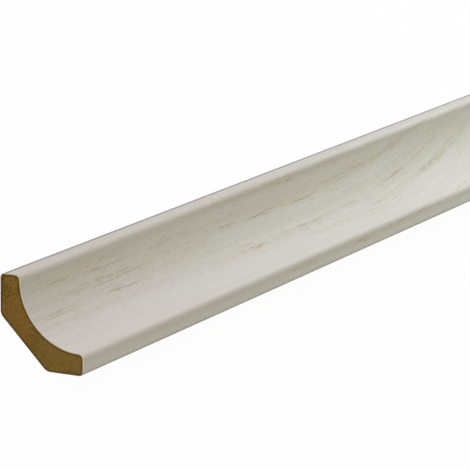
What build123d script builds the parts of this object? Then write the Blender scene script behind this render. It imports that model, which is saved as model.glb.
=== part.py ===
from build123d import *
import os
from math import isclose, sqrt

# A cove moulding, sold by the length: a fibreboard core wrapped in a thin decor foil.
#
# It fills the corner between two surfaces that meet at a right angle. Its section has two legs, each with a
# flat that is glued to one of the surfaces. The corner between the flats is planed off, so that the moulding
# clears a rough corner, and the visible side is hollowed to a cove. The foil covers the cove and goes round
# both long edges onto the flats.
#
# The moulding lies on its planed back with the cove up, its length along X and the middle of the back at the
# origin.

# Driving dimensions, in millimetres
stock_length = 2500.0
leg = 22.0                # reach of the section along each surface, foil included
back_cut = 12.2           # length of each leg that is planed off at the back corner
edge_thickness = 5.3      # thickness of the long edges, where the cove runs out
cove_radius = 15.6        # hollow of the visible side, on the face of the foil
nose_radius = 1.4         # rounding of each long edge towards the cove
heel_radius = 1.25        # rounding of each long edge towards its flat
back_edge_radius = 2.5    # rounding between each flat and the planed back
foil_thickness = 0.25
foil_return = 4.5         # how far the foil reaches back along each flat, from the long edge

# Points closer together than this are the same point
same_point = 1e-6

# The section is drawn with its legs along its own x and y axes, from the point where the two flats would
# meet. The legs rise at 45 degrees from the planed back.
section_plane = Plane(origin=(0, 0, -back_cut / sqrt(2)), x_dir=(0, -1, 1), z_dir=(-1, 0, 0))
cove_centre = Pos(edge_thickness + cove_radius, edge_thickness + cove_radius)


def corners_at(section, reach, on_flat):
    """The corners of an outline at this reach along either leg, on that leg's flat or clear of it."""

    def is_such_a_corner(corner):
        along = max(corner.X, corner.Y)
        height = min(corner.X, corner.Y)
        touches_flat = isclose(height, 0, abs_tol=same_point)
        return isclose(along, reach, abs_tol=same_point) and touches_flat == on_flat

    return section.vertices().filter_by(is_such_a_corner)


def whole_section():
    """The section of the finished moulding, foil included."""
    blank = Rectangle(leg, leg, align=Align.MIN)
    planed = chamfer(corners_at(blank, 0, on_flat=True), back_cut)
    hollowed = planed - cove_centre * Circle(cove_radius)
    nosed = fillet(corners_at(hollowed, leg, on_flat=False), nose_radius)
    heeled = fillet(corners_at(nosed, leg, on_flat=True), heel_radius)
    return fillet(corners_at(heeled, back_cut, on_flat=True), back_edge_radius)


def foil_section(section):
    """The foil in that section: the skin of the cove and the long edges, and a return onto each flat."""
    skin = section - offset(section, amount=-foil_thickness)
    cove_side = cove_centre * Circle(cove_radius + 2 * foil_thickness)
    upright_end = Pos(0, leg) * Rectangle(leg, foil_return, align=(Align.MIN, Align.MAX))
    level_end = Pos(leg, 0) * Rectangle(foil_return, leg, align=(Align.MAX, Align.MIN))
    return skin & (cove_side + upright_end + level_end)


def run_of(section):
    """A section run along the whole length of the moulding."""
    return extrude(section_plane * section, amount=stock_length / 2, both=True)


moulding = whole_section()
foil = foil_section(moulding)
core = moulding - foil

os.makedirs("parts", exist_ok=True)
export_step(run_of(core), "parts/mdf_core.step")
export_step(run_of(foil), "parts/decor_foil.step")
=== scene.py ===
"""The looks of a cove moulding: a fibreboard core wrapped in a white wood-grain foil, on a white floor."""
from math import asin, cos, degrees, pi, radians, sqrt, tan

import bpy
from mathutils import Matrix, Vector
from mathutils.kdtree import KDTree


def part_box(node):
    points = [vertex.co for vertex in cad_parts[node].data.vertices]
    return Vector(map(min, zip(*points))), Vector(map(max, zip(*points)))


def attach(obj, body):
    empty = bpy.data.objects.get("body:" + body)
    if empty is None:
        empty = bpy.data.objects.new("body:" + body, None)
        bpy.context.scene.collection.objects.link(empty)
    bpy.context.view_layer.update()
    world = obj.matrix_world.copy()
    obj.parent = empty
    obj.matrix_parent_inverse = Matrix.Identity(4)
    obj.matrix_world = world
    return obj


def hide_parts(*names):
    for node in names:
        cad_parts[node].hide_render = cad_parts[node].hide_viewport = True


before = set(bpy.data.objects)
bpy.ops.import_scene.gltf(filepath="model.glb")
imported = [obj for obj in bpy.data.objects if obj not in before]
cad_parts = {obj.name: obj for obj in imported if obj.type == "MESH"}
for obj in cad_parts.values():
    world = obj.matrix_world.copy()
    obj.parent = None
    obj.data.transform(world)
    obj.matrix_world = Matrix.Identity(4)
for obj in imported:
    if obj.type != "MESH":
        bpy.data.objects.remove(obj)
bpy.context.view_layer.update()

# Section of the moulding, in metres, foil included
LEG = 0.022
BACK_CUT = 0.0122
EDGE_THICKNESS = 0.0053
COVE_RADIUS = 0.0156
NOSE_RADIUS = 0.0014
HEEL_RADIUS = 0.00125
BACK_EDGE_RADIUS = 0.0025
FOIL = 0.00025
FOIL_RETURN = 0.0045

# Places that follow from the section
QUARTER_TURN = 90
COVE_CENTRE = EDGE_THICKNESS + COVE_RADIUS
NOSE_TILT = asin((COVE_CENTRE + NOSE_RADIUS - LEG) / (COVE_RADIUS + NOSE_RADIUS))
NOSE_CENTRE = COVE_CENTRE - (COVE_RADIUS + NOSE_RADIUS) * cos(NOSE_TILT)
NOSE_TURN = QUARTER_TURN - degrees(NOSE_TILT)
COVE_TURN = 2 * NOSE_TURN - QUARTER_TURN
BACK_EDGE_TURN = QUARTER_TURN / 2
BACK_EDGE_END = BACK_CUT + BACK_EDGE_RADIUS * tan(radians(BACK_EDGE_TURN / 2))
NEAR_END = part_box("mdf_core")[0].x
FAR_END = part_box("mdf_core")[1].x
LENGTH = FAR_END - NEAR_END
BAYS = 25

# Lines of the section are divided this finely. The core's front and back lines have as many steps each.
HEEL_STEPS = 12
NOSE_STEPS = 12
COVE_STEPS = 156
RETURN_STEPS = 12
FLAT_STEPS = 20
BACK_EDGE_STEPS = 10
BACK_STEPS = 70
CORE_LAYERS = 28

SMOOTHED_UNDER = radians(30)
SAME_PLACE = 1e-6

# Millimetres in a metre, for the print, which is drawn in millimetres
MILLIMETRES = 1000.0

# The sawn ends: how deep their pits are, how wide their dark rim is (a dark glue line along the foil, and
# painted shade along the other edges), and how far a face has to look along the moulding to be part of an end
SAW_PITS = 0.00003
RIM_WIDTH = 0.0009
LOOKS_ALONG = 0.5

# The grain of the print runs straight, sweeps across and comes back, in millimetres: half the length of one
# such run, where its sweep starts and ends, and how far it goes
HALF_RUN = 625.0
SWEEP_START = 160.0
SWEEP_END = 450.0
SWEEP = 50.0

# Groups of pores in the print near the first end, in millimetres: how far from the end, how far across the
# grain from the foil's middle towards the level edge, half their length and width, and how dark they are
PORE_GROUPS = (
    (12, -1.3, 15, 1.0, 0.7),
    (28, -9.0, 30, 1.8, 0.6),
    (40, -5.0, 26, 1.7, 1.0),
    (47, -1.4, 15, 1.2, 0.75),
    (68, -2.2, 9, 1.0, 0.5),
    (73, -7.8, 18, 1.2, 0.6),
    (80, -3.9, 11, 0.9, 0.6),
    (100, -5.3, 8, 0.8, 1.0),
    (100, 2.2, 15, 1.5, 0.85),
    (108, -11.8, 8, 0.9, 0.8),
    (112, 15.2, 10, 0.8, 1.0),
    (131, -11.5, 14, 1.3, 1.2),
    (131, -5.2, 24, 0.8, 1.7),
    (131, 3.5, 9, 0.8, 0.7),
    (140, 1.4, 22, 0.9, 1.0),
    (143, 5.6, 18, 1.4, 0.9),
    (151, 15.4, 14, 0.8, 1.8),
    (153, -4.2, 11, 0.8, 0.6),
    (162, 1.3, 9, 0.8, 0.8),
    (163, -12.0, 10, 0.9, 0.7),
    (163, -6.4, 12, 1.2, 0.8),
    (176, 15.0, 18, 0.8, 1.3),
    (180, 6.8, 12, 1.1, 0.7),
    (190, 4.6, 20, 1.0, 0.7),
    (192, -7.0, 28, 1.3, 1.1),
    (203, 0.4, 40, 1.1, 0.85),
    (220, 16.6, 10, 0.9, 0.9),
    (224, 4.8, 30, 1.5, 0.85),
    (236, 9.7, 16, 1.3, 0.6),
)


# Tools for drawing a section and running it along the moulding

def at(u, v, x=NEAR_END):
    """The place of a point of the section: u along the level leg, v along the upright one."""
    return Vector((x, (v - u) / sqrt(2), (u + v - BACK_CUT) / sqrt(2)))


def pen_down(name, u, v):
    """Starts a piece as a single point of the section, and leaves it in edit mode."""
    bpy.ops.object.select_all(action="DESELECT")
    bpy.ops.mesh.primitive_plane_add(size=LEG, location=at(u, v))
    bpy.ops.object.transform_apply(location=True, rotation=True, scale=True)
    piece = bpy.context.object
    piece.name = name
    piece.data.name = name
    bpy.ops.object.mode_set(mode="EDIT")
    bpy.ops.mesh.select_mode(type="VERT")
    bpy.ops.mesh.select_all(action="SELECT")
    bpy.ops.mesh.merge(type="CENTER")
    return piece


def draw_line(start, end, steps=1):
    """Extrudes the last point in a straight line."""
    step = (at(*end) - at(*start)) / steps
    for _ in range(steps):
        bpy.ops.mesh.extrude_region_move(TRANSFORM_OT_translate={"value": step})


def draw_arc(centre, turn, steps):
    """Spins the last point round a centre. A positive turn goes from the level leg to the upright one."""
    bpy.ops.mesh.spin(steps=steps, angle=radians(turn), center=at(*centre), axis=(1, 0, 0))


def draw_cove():
    """Draws the visible side of the section: the cove, with a nose before and after it."""
    draw_arc((NOSE_CENTRE, LEG - NOSE_RADIUS), -NOSE_TURN, NOSE_STEPS)
    draw_arc((COVE_CENTRE, COVE_CENTRE), COVE_TURN, COVE_STEPS)
    draw_arc((LEG - NOSE_RADIUS, NOSE_CENTRE), -NOSE_TURN, NOSE_STEPS)


def run_along():
    """Extrudes all that is drawn along the whole moulding."""
    bpy.ops.mesh.select_all(action="SELECT")
    for _ in range(BAYS):
        bpy.ops.mesh.extrude_region_move(TRANSFORM_OT_translate={"value": (LENGTH / BAYS, 0, 0)})
    bpy.ops.mesh.select_all(action="SELECT")
    bpy.ops.mesh.remove_doubles(threshold=SAME_PLACE)
    bpy.ops.mesh.normals_make_consistent(inside=False)


def apply_modifier(piece, kind, **settings):
    """Adds a modifier to a piece and applies it."""
    modifier = piece.modifiers.new(kind.lower(), kind)
    for name, value in settings.items():
        setattr(modifier, name, value)
    bpy.ops.object.modifier_apply(modifier=modifier.name)


def smooth(piece):
    """Shades the rounded faces smooth and keeps the flats flat."""
    bpy.ops.object.shade_smooth_by_angle(angle=SMOOTHED_UNDER)
    apply_modifier(piece, "WEIGHTED_NORMAL", keep_sharp=True)


# The foil

def draw_foil_line():
    """Draws the face of the foil across the section, from one return to the other."""
    draw_line((0, LEG - FOIL_RETURN), (0, LEG - HEEL_RADIUS))
    draw_arc((HEEL_RADIUS, LEG - HEEL_RADIUS), -QUARTER_TURN, HEEL_STEPS)
    draw_line((HEEL_RADIUS, LEG), (NOSE_CENTRE, LEG))
    draw_cove()
    draw_line((LEG, NOSE_CENTRE), (LEG, HEEL_RADIUS))
    draw_arc((LEG - HEEL_RADIUS, HEEL_RADIUS), -QUARTER_TURN, HEEL_STEPS)
    draw_line((LEG - HEEL_RADIUS, 0), (LEG - FOIL_RETURN, 0))


def section_place(point):
    """Where a point is in the section, rounded so that it is the same all along the moulding."""
    return round(point.y, 6), round(point.z, 6)


def girths_along(line, start):
    """How far along a drawn line each of its points is, from the point where it starts."""
    neighbours = {vertex.index: [] for vertex in line.data.vertices}
    for first, second in (edge.vertices for edge in line.data.edges):
        neighbours[first].append(second)
        neighbours[second].append(first)
    here = min(line.data.vertices, key=lambda vertex: (vertex.co - start).length)
    girths = {}
    girth = 0.0
    while here is not None:
        girths[section_place(here.co)] = girth
        ahead = [line.data.vertices[index] for index in neighbours.pop(here.index) if index in neighbours]
        girth += (ahead[0].co - here.co).length if ahead else 0.0
        here = ahead[0] if ahead else None
    return girths


def lay_print(foil, girths):
    """Lays the printed sheet on the foil, in metres: length along U, and girth from its middle along V."""
    layer = foil.data.uv_layers.new(name="print")
    middle = max(girths.values()) / 2
    for loop in foil.data.loops:
        place = foil.data.vertices[loop.vertex_index].co
        layer.data[loop.index].uv = (place.x - NEAR_END, girths[section_place(place)] - middle)


def turn_face_up(foil):
    """Flips the sheet if the bottom of its cove faces down."""
    bottom = min(foil.data.polygons, key=lambda face: face.center.z if abs(face.center.y) < FOIL else LEG)
    if bottom.normal.z < 0:
        bpy.ops.object.mode_set(mode="EDIT")
        bpy.ops.mesh.flip_normals()
        bpy.ops.object.mode_set(mode="OBJECT")


def make_foil():
    """The foil: a line drawn round the section, run along the moulding and given its thickness inwards."""
    foil = pen_down("printed_foil", 0, LEG - FOIL_RETURN)
    draw_foil_line()
    bpy.ops.object.mode_set(mode="OBJECT")
    girths = girths_along(foil, at(0, LEG - FOIL_RETURN))
    bpy.ops.object.mode_set(mode="EDIT")
    run_along()
    bpy.ops.object.mode_set(mode="OBJECT")
    turn_face_up(foil)
    lay_print(foil, girths)
    foil.data.materials.append(printed_face())
    foil.data.materials.append(paper_edge())
    apply_modifier(
        foil,
        "SOLIDIFY",
        thickness=FOIL,
        offset=-1,
        use_even_offset=True,
        material_offset=1,
        material_offset_rim=1,
    )
    smooth(foil)
    return foil


# The fibreboard core

def draw_back():
    """Draws the back of the core, from one heel to the other: returns, flats and the planed corner."""
    reach = BACK_EDGE_RADIUS * (1 - 1 / sqrt(2))
    rise = BACK_CUT - reach
    draw_arc((HEEL_RADIUS, LEG - HEEL_RADIUS), QUARTER_TURN, HEEL_STEPS)
    draw_line((FOIL, LEG - HEEL_RADIUS), (FOIL, LEG - FOIL_RETURN), RETURN_STEPS)
    draw_line((FOIL, LEG - FOIL_RETURN), (0, LEG - FOIL_RETURN))
    draw_line((0, LEG - FOIL_RETURN), (0, BACK_EDGE_END), FLAT_STEPS)
    draw_arc((BACK_EDGE_RADIUS, BACK_EDGE_END), BACK_EDGE_TURN, BACK_EDGE_STEPS)
    draw_line((reach, rise), (rise, reach), BACK_STEPS)
    draw_arc((BACK_EDGE_END, BACK_EDGE_RADIUS), BACK_EDGE_TURN, BACK_EDGE_STEPS)
    draw_line((BACK_EDGE_END, 0), (LEG - FOIL_RETURN, 0), FLAT_STEPS)
    draw_line((LEG - FOIL_RETURN, 0), (LEG - FOIL_RETURN, FOIL))
    draw_line((LEG - FOIL_RETURN, FOIL), (LEG - HEEL_RADIUS, FOIL), RETURN_STEPS)
    draw_arc((LEG - HEEL_RADIUS, HEEL_RADIUS), QUARTER_TURN, HEEL_STEPS)


def saw_ends(core):
    """Marks the ends' rim, for the dark glue line and the painted edge shade, and pits the rest of their
    points a little, for a sawn finish.
    """
    outline = {
        index for face in core.data.polygons if abs(face.normal.x) < LOOKS_ALONG for index in face.vertices
    }
    nearest = KDTree(len(outline))
    for index in sorted(outline):
        nearest.insert(core.data.vertices[index].co, index)
    nearest.balance()
    rim = core.data.attributes.new("rim", "FLOAT", "POINT")
    for vertex in core.data.vertices:
        _, _, distance = nearest.find(vertex.co)
        rim.data[vertex.index].value = max(0.0, 1.0 - distance / RIM_WIDTH)
        vertex.select = vertex.index not in outline
    for face in core.data.polygons:
        face.material_index = 1 if abs(face.normal.x) > LOOKS_ALONG else 0
    bpy.ops.object.mode_set(mode="EDIT")
    bpy.ops.transform.resize(value=(1 - SAW_PITS / FAR_END, 1, 1), center_override=(0, 0, 0))
    bpy.ops.transform.vertex_random(offset=SAW_PITS, uniform=0.0, normal=1.0, seed=1)
    bpy.ops.object.mode_set(mode="OBJECT")


def make_core():
    """The core: its front and back lines bridged to a section, run along the moulding, with sawn ends."""
    front = pen_down("core_front", NOSE_CENTRE, LEG - FOIL)
    draw_cove()
    bpy.ops.object.mode_set(mode="OBJECT")
    core = pen_down("fibreboard_core", HEEL_RADIUS, LEG - FOIL)
    draw_back()
    bpy.ops.object.mode_set(mode="OBJECT")
    front.select_set(True)
    core.select_set(True)
    bpy.context.view_layer.objects.active = core
    bpy.ops.object.join()
    bpy.ops.object.mode_set(mode="EDIT")
    bpy.ops.mesh.select_mode(type="EDGE")
    bpy.ops.mesh.select_all(action="SELECT")
    bpy.ops.mesh.bridge_edge_loops(number_cuts=CORE_LAYERS, interpolation="LINEAR", smoothness=0)
    run_along()
    bpy.ops.mesh.select_all(action="DESELECT")
    bpy.ops.mesh.select_mode(type="VERT")
    bpy.ops.object.mode_set(mode="OBJECT")
    core.data.materials.append(machined_fibreboard())
    core.data.materials.append(sawn_fibreboard())
    saw_ends(core)
    smooth(core)
    return core


# Tools for building materials

def paint(red, green, blue):
    """A colour as it looks on a screen, as the linear colour that a shader takes."""
    values = [channel / 255 for channel in (red, green, blue)]
    return [v / 12.92 if v <= 0.04045 else ((v + 0.055) / 1.055) ** 2.4 for v in values] + [1.0]


def add_node(tree, kind, inputs=(), **settings):
    """Adds a node, sets its options, and fills its inputs with values or with links from other nodes."""
    node = tree.nodes.new("ShaderNode" + kind)
    for name, value in settings.items():
        setattr(node, name, value)
    for name, value in dict(inputs).items():
        if isinstance(value, bpy.types.NodeSocket):
            tree.links.new(value, node.inputs[name])
        else:
            node.inputs[name].default_value = value
    return node


def calc(tree, operation, first, second=0.0):
    """One sum of two values."""
    return add_node(tree, "Math", {0: first, 1: second}, operation=operation).outputs[0]


def noise(tree, along, across, length, width, detail=2.0):
    """Noise drawn out along the grain: its grains are about this long and this wide."""
    stretched = {"X": calc(tree, "DIVIDE", along, length), "Y": calc(tree, "DIVIDE", across, width)}
    vector = add_node(tree, "CombineXYZ", stretched)
    made = add_node(
        tree, "TexNoise", {"Vector": vector.outputs[0], "Scale": 1.0, "Detail": detail}, noise_dimensions="2D"
    )
    return made.outputs["Fac"]


def ramp(tree, value, low, high):
    """Runs smoothly from 0 at low to 1 at high."""
    made = add_node(
        tree, "MapRange", {"Value": value, "From Min": low, "From Max": high}, interpolation_type="SMOOTHSTEP"
    )
    return made.outputs[0]


def blend(tree, share, first, second):
    """Lays the second colour over the first."""
    return add_node(tree, "Mix", {0: share, 6: first, 7: second}, data_type="RGBA").outputs[2]


def tint(tree, under, colour, where, share):
    """Lays a colour over another where a mask is, at a share of its strength."""
    return blend(tree, calc(tree, "MULTIPLY", where, share), under, colour)


def band(tree, value, rise, fall):
    """1 between two places, with a soft rise before and a soft fall after."""
    return calc(tree, "SUBTRACT", ramp(tree, value, *rise), ramp(tree, value, *fall))


def new_material(name):
    """A new material, its node tree and its shader."""
    material = bpy.data.materials.new(name)
    material.use_nodes = True
    return material, material.node_tree, material.node_tree.nodes["Principled BSDF"]


def new_group(name, inputs, outputs):
    """An empty node group, the sockets that its inputs come from and those that its outputs go to."""
    group = bpy.data.node_groups.new(name, "ShaderNodeTree")
    for socket, kind in inputs.items():
        group.interface.new_socket(name=socket, in_out="INPUT", socket_type="NodeSocket" + kind)
    for socket, kind in outputs.items():
        group.interface.new_socket(name=socket, in_out="OUTPUT", socket_type="NodeSocket" + kind)
    return group, group.nodes.new("NodeGroupInput").outputs, group.nodes.new("NodeGroupOutput").inputs


# Effects that are used more than once

def make_pore_group():
    """The mask of one group of pores: an oval that lies along the grain and fades towards its rim."""
    sizes = ("Along", "Grain", "Middle", "Line", "Reach", "Width", "Strength")
    group, given, made = new_group("pore_group", dict.fromkeys(sizes, "Float"), {"Mask": "Float"})
    along = calc(group, "SUBTRACT", given["Along"], given["Middle"])
    along = calc(group, "POWER", calc(group, "ABSOLUTE", calc(group, "DIVIDE", along, given["Reach"])), 2.0)
    across = calc(group, "SUBTRACT", given["Grain"], given["Line"])
    across = calc(group, "POWER", calc(group, "ABSOLUTE", calc(group, "DIVIDE", across, given["Width"])), 2.0)
    outside = ramp(group, calc(group, "ADD", along, across), 0.3, 1.0)
    mask = calc(group, "MULTIPLY", calc(group, "SUBTRACT", 1.0, outside), given["Strength"])
    group.links.new(mask, made["Mask"])
    return group


def make_fibre_specks():
    """The fibres of fibreboard: fine specks, broad mottling, and sparse dark pits."""
    group, given, made = new_group(
        "fibre_specks", {"Places": "Vector"}, {"Specks": "Float", "Mottling": "Float", "Pits": "Float"}
    )
    specks = add_node(group, "TexNoise", {"Vector": given["Places"], "Scale": 1900.0, "Detail": 3.0})
    mottling = add_node(group, "TexNoise", {"Vector": given["Places"], "Scale": 230.0, "Detail": 2.0})
    pits = add_node(group, "TexNoise", {"Vector": given["Places"], "Scale": 1100.0, "Detail": 1.0})
    group.links.new(ramp(group, specks.outputs["Fac"], 0.36, 0.64), made["Specks"])
    group.links.new(ramp(group, mottling.outputs["Fac"], 0.38, 0.62), made["Mottling"])
    group.links.new(ramp(group, pits.outputs["Fac"], 0.66, 0.76), made["Pits"])
    return group


# Materials

def printed_face():
    """The print of limed wood on the foil: white ground, growth rings, and tan pores in groups, with painted
    light and shade at its edges and heels.
    """
    material, tree, shader = new_material("printed_limed_wood")
    uv = add_node(tree, "UVMap", uv_map="print")
    print_place = add_node(tree, "SeparateXYZ", {0: uv.outputs[0]})
    along = calc(tree, "MULTIPLY", print_place.outputs[0], MILLIMETRES)
    across = calc(tree, "MULTIPLY", print_place.outputs[1], MILLIMETRES)

    # The grain runs straight from the end, then sweeps towards the upright edge and back again
    swept = ramp(tree, calc(tree, "PINGPONG", along, HALF_RUN), SWEEP_START, SWEEP_END)
    grain = calc(tree, "ADD", across, calc(tree, "MULTIPLY", swept, SWEEP))
    wobble = calc(tree, "SUBTRACT", noise(tree, along, across, length=30.0, width=5.0, detail=1.0), 0.5)
    grain = calc(tree, "ADD", grain, calc(tree, "MULTIPLY", wobble, 1.6))

    # Pores lie in groups: those placed near the end, and scattered ones along the rest
    further_on = ramp(tree, along, 240.0, 310.0)
    scattered = ramp(tree, noise(tree, along, grain, length=75.0, width=2.0), 0.46, 0.66)
    present = calc(tree, "ADD", calc(tree, "MULTIPLY", ramp(tree, along, 90.0, 190.0), 0.25), 0.15)
    groups = calc(tree, "MULTIPLY", scattered, calc(tree, "MAXIMUM", present, further_on))
    pore_group = make_pore_group()
    for middle, line, reach, width, strength in PORE_GROUPS:
        placed = add_node(
            tree,
            "Group",
            {"Along": along, "Grain": grain, "Middle": middle, "Line": line, "Reach": reach, "Width": width,
             "Strength": strength},
            node_tree=pore_group,
        )
        groups = calc(tree, "MAXIMUM", groups, placed.outputs["Mask"])
    hairlines = ramp(tree, noise(tree, along, grain, length=26.0, width=0.2, detail=1.0), 0.52, 0.68)
    breaks = ramp(tree, noise(tree, along, grain, length=4.0, width=0.3, detail=1.0), 0.38, 0.54)
    streaks = calc(tree, "MULTIPLY", calc(tree, "MULTIPLY", hairlines, breaks), groups)

    # Fainter marks all over
    richer = calc(tree, "MAXIMUM", ramp(tree, calc(tree, "MULTIPLY", grain, -1.0), -9.0, -2.0), further_on)
    fibres = noise(tree, along, grain, length=8.0, width=0.2, detail=1.0)
    fibres = calc(tree, "MULTIPLY", fibres, calc(tree, "ADD", calc(tree, "MULTIPLY", richer, 0.5), 0.5))
    ticks = ramp(tree, noise(tree, along, grain, length=3.5, width=0.2), 0.54, 0.72)
    ticks = calc(tree, "MULTIPLY", ticks, calc(tree, "ADD", calc(tree, "MULTIPLY", richer, 0.25), 0.08))
    rings = calc(tree, "SUBTRACT", noise(tree, along, grain, length=160.0, width=2.6), 0.5)
    rings = calc(tree, "MULTIPLY", rings, calc(tree, "ADD", calc(tree, "MULTIPLY", richer, 0.6), 0.4))
    rings = ramp(tree, rings, -0.2, 0.2)
    mottle = noise(tree, along, across, length=1.1, width=0.7)

    colour = blend(tree, rings, paint(215, 212, 205), paint(208, 204, 192))
    colour = tint(tree, colour, paint(183, 176, 158), where=fibres, share=0.22)
    colour = tint(tree, colour, paint(185, 179, 166), where=mottle, share=0.24)
    colour = blend(tree, ticks, colour, paint(175, 162, 132))
    colour = tint(tree, colour, paint(212, 199, 164), where=groups, share=0.14)
    colour = tint(tree, colour, paint(164, 141, 98), where=streaks, share=0.8)

    # Painted light and shade: the upright edge is painted darker as shade, and the level one paler as light
    upright = calc(tree, "MULTIPLY", across, -1.0)
    painted_shade_upright_edge = ramp(tree, upright, 13.3, 14.4)
    colour = tint(tree, colour, paint(179, 173, 160), where=painted_shade_upright_edge, share=0.4)
    painted_light_level_edge = ramp(tree, across, 14.4, 16.2)
    colour = tint(tree, colour, paint(226, 226, 220), where=painted_light_level_edge, share=0.3)
    # Painted dark lines round the heels: a painted dark reflection on the upright heel, and painted shade
    # under the level heel
    painted_reflection_upright_heel = band(tree, upright, rise=(16.05, 16.5), fall=(16.85, 17.3))
    colour = blend(tree, painted_reflection_upright_heel, colour, paint(135, 132, 125))
    painted_shade_level_heel = band(tree, across, rise=(17.1, 17.6), fall=(18.0, 18.6))
    colour = tint(tree, colour, paint(135, 132, 125), where=painted_shade_level_heel, share=0.66)
    tree.links.new(colour, shader.inputs["Base Color"])
    roughness = calc(tree, "ADD", calc(tree, "MULTIPLY", streaks, 0.12), calc(tree, "MULTIPLY", fibres, 0.2))
    tree.links.new(calc(tree, "ADD", roughness, 0.42), shader.inputs["Roughness"])
    shader.inputs["Specular IOR Level"].default_value = 0.15
    height = calc(tree, "SUBTRACT", calc(tree, "MULTIPLY", fibres, 0.4), streaks)
    bump = add_node(tree, "Bump", {"Strength": 0.25, "Distance": 0.00003, "Height": height})
    tree.links.new(bump.outputs[0], shader.inputs["Normal"])
    return material


def paper_edge():
    """The pale cut edge and underside of the foil, browned by the glue along its returns."""
    material, tree, shader = new_material("foil_paper_edge")
    places = add_node(tree, "TexCoord")
    mottle = add_node(tree, "TexNoise", {"Vector": places.outputs["Object"], "Scale": 2500.0, "Detail": 2.0})
    uv = add_node(tree, "UVMap", uv_map="print")
    across = add_node(tree, "SeparateXYZ", {0: uv.outputs[0]}).outputs[1]
    returns = ramp(tree, calc(tree, "ABSOLUTE", across), 0.0168, 0.0178)
    colour = blend(tree, mottle.outputs["Fac"], paint(205, 188, 158), paint(226, 214, 190))
    colour = tint(tree, colour, paint(104, 82, 48), where=returns, share=0.85)
    tree.links.new(colour, shader.inputs["Base Color"])
    shader.inputs["Roughness"].default_value = 0.8
    return material


def sawn_fibreboard():
    """The sawn end of the core: granular brown, lighter towards the level leg, and dark at its rim, with a
    glue line along the foil and painted shade along the other edges.
    """
    material, tree, shader = new_material("sawn_fibreboard")
    places = add_node(tree, "TexCoord")
    fibres = add_node(tree, "Group", {"Places": places.outputs["Object"]}, node_tree=fibre_specks)
    rim = add_node(tree, "Attribute", attribute_name="rim")
    places_across = add_node(tree, "SeparateXYZ", {0: places.outputs["Object"]}).outputs[1]
    level_leg = ramp(tree, calc(tree, "MULTIPLY", places_across, -1.0), -0.01, 0.01)
    colour = blend(tree, fibres.outputs["Mottling"], paint(90, 75, 8), paint(125, 89, 39))
    colour = tint(tree, colour, paint(132, 104, 56), where=level_leg, share=0.6)
    colour = tint(tree, colour, paint(138, 110, 52), where=fibres.outputs["Specks"], share=0.8)
    colour = tint(tree, colour, paint(62, 44, 16), where=fibres.outputs["Pits"], share=0.5)
    # The rim is darker: a dark glue line where the end meets the foil, and painted shade along its other
    # edges
    rim = calc(tree, "POWER", rim.outputs["Fac"], 1.5)
    colour = tint(tree, colour, paint(66, 49, 22), where=rim, share=0.8)
    tree.links.new(colour, shader.inputs["Base Color"])
    shader.inputs["Roughness"].default_value = 0.95
    shader.inputs["Specular IOR Level"].default_value = 0.1
    height = calc(tree, "SUBTRACT", fibres.outputs["Specks"], fibres.outputs["Pits"])
    bump = add_node(tree, "Bump", {"Strength": 0.4, "Distance": 0.00006, "Height": height})
    tree.links.new(bump.outputs[0], shader.inputs["Normal"])
    return material


def machined_fibreboard():
    """The moulded back of the core: smoother and paler, with the cutter's fine marks across it."""
    material, tree, shader = new_material("machined_fibreboard")
    places = add_node(tree, "TexCoord")
    fibres = add_node(tree, "Group", {"Places": places.outputs["Object"]}, node_tree=fibre_specks)
    cuts = add_node(
        tree,
        "TexWave",
        {"Vector": places.outputs["Object"], "Scale": 230.0, "Distortion": 1.5, "Detail Scale": 2.0},
    )
    colour = blend(tree, fibres.outputs["Specks"], paint(158, 128, 78), paint(176, 147, 98))
    colour = tint(tree, colour, paint(164, 132, 80), where=fibres.outputs["Mottling"], share=0.5)
    colour = tint(tree, colour, paint(120, 92, 50), where=fibres.outputs["Pits"], share=0.4)
    colour = tint(tree, colour, paint(140, 110, 64), where=cuts.outputs["Fac"], share=0.12)
    tree.links.new(colour, shader.inputs["Base Color"])
    shader.inputs["Roughness"].default_value = 0.8
    shader.inputs["Specular IOR Level"].default_value = 0.2
    height = calc(tree, "ADD", cuts.outputs["Fac"], fibres.outputs["Specks"])
    bump = add_node(tree, "Bump", {"Strength": 0.3, "Distance": 0.00002, "Height": height})
    tree.links.new(bump.outputs[0], shader.inputs["Normal"])
    return material


# Camera, floor and light

def make_camera():
    """The photograph's view: from above the near end, turned so that one leg stands upright."""
    place = Vector((-1.92030, -0.14248, 0.42384))
    forward = Vector((0.86749, 0.16316, -0.46994))
    up = Vector((0.18911, 0.76562, 0.61488))
    right = forward.cross(up)
    camera = bpy.data.objects.new("camera", bpy.data.cameras.new("camera"))
    bpy.context.collection.objects.link(camera)
    turn = Matrix((right, up, -forward)).transposed().to_4x4()
    camera.matrix_world = Matrix.Translation(place) @ turn
    camera.data.sensor_width = 36.0
    camera.data.lens = 267.55
    camera.data.clip_start = 0.01
    camera.data.clip_end = 200.0
    bpy.context.scene.camera = camera


def seen_directly(tree):
    """1 for what is seen, directly, in a reflection or through glass, and 0 for light on other things."""
    path = add_node(tree, "LightPath")
    mirrored = calc(tree, "MAXIMUM", path.outputs["Is Glossy Ray"], path.outputs["Is Transmission Ray"])
    return calc(tree, "MAXIMUM", path.outputs["Is Camera Ray"], mirrored)


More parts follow.
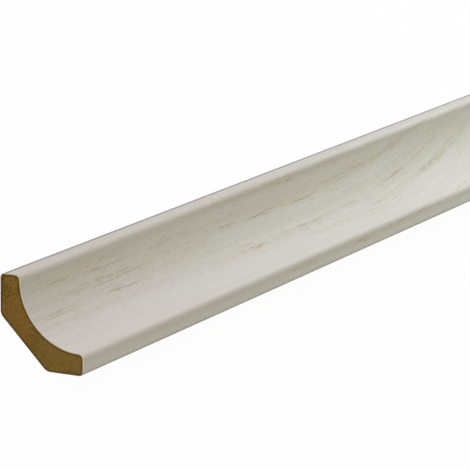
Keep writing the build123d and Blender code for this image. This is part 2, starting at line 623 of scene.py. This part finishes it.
def make_floor():
    """A wide white floor that keeps a faint shadow."""
    bpy.ops.object.select_all(action="DESELECT")
    bpy.ops.mesh.primitive_plane_add(size=120.0)
    floor = bpy.context.object
    floor.name = "floor"
    material = bpy.data.materials.new("white_floor")
    material.use_nodes = True
    tree = material.node_tree
    tree.nodes.clear()
    lit = add_node(tree, "BsdfDiffuse", {"Color": (0.8, 0.8, 0.8, 1.0)})
    white = add_node(tree, "Emission", {"Color": (1.0, 1.0, 1.0, 1.0), "Strength": 1.0})
    share_of_white = calc(tree, "MULTIPLY", seen_directly(tree), 0.97)
    mixed = add_node(tree, "MixShader", {0: share_of_white, 1: lit.outputs[0], 2: white.outputs[0]})
    output = add_node(tree, "OutputMaterial")
    tree.links.new(mixed.outputs[0], output.inputs["Surface"])
    floor.data.materials.append(material)


def make_world():
    """A white room, whose own light on things is dim and warm."""
    world = bpy.data.worlds.new("studio")
    bpy.context.scene.world = world
    world.use_nodes = True
    tree = world.node_tree
    tree.nodes.clear()
    ambient = add_node(tree, "Background", {"Color": (1.0, 0.96, 0.74, 1.0), "Strength": 0.42})
    white = add_node(tree, "Background", {"Color": (1.0, 1.0, 1.0, 1.0), "Strength": 1.0})
    mixed = add_node(tree, "MixShader", {0: seen_directly(tree), 1: ambient.outputs[0], 2: white.outputs[0]})
    output = add_node(tree, "OutputWorld")
    tree.links.new(mixed.outputs[0], output.inputs["Surface"])


def add_lamp(name, kind, energy, colour, place, towards):
    """Adds a lamp at a place, turned towards a point."""
    lamp = bpy.data.objects.new(name, bpy.data.lights.new(name, kind))
    bpy.context.collection.objects.link(lamp)
    lamp.data.energy = energy
    lamp.data.color = colour
    lamp.location = place
    lamp.rotation_mode = "QUATERNION"
    lamp.rotation_quaternion = (Vector(place) - Vector(towards)).to_track_quat("Z", "Y")
    lamp.visible_camera = False
    return lamp


def make_lamps():
    """A broad cool key from the upright leg's side, a fill on the near end and a long lamp above the rest."""
    above = at(0, 1) - at(0, 0)
    key = add_lamp("key", "SUN", energy=0.52 * pi, colour=(0.8, 0.75, 1.0), place=above, towards=(0, 0, 0))
    key.data.angle = radians(80)
    before = at(0.1, 0.1, -1.0) - at(0, 0, 0)
    fill = add_lamp("fill", "SUN", energy=0.25 * pi, colour=(1.0, 1.0, 1.0), place=before, towards=(0, 0, 0))
    fill.data.angle = radians(40)
    further = add_lamp(
        "further",
        "AREA",
        energy=1.52,
        colour=(0.74, 0.97, 1.0),
        place=(0.285, 0.081, 0.205),
        towards=(0.285, 0, 0),
    )
    further.data.shape = "RECTANGLE"
    further.data.size = 2.83
    further.data.size_y = 0.13


fibre_specks = make_fibre_specks()
foil = make_foil()
core = make_core()
for piece, node, slot in ((foil, "decor_foil", "decor_foil"), (core, "mdf_core", "fibreboard")):
    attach(piece, "root")
    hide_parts(node)
make_camera()
make_floor()
make_world()
make_lamps()
bpy.context.scene.view_settings.view_transform = "Standard"
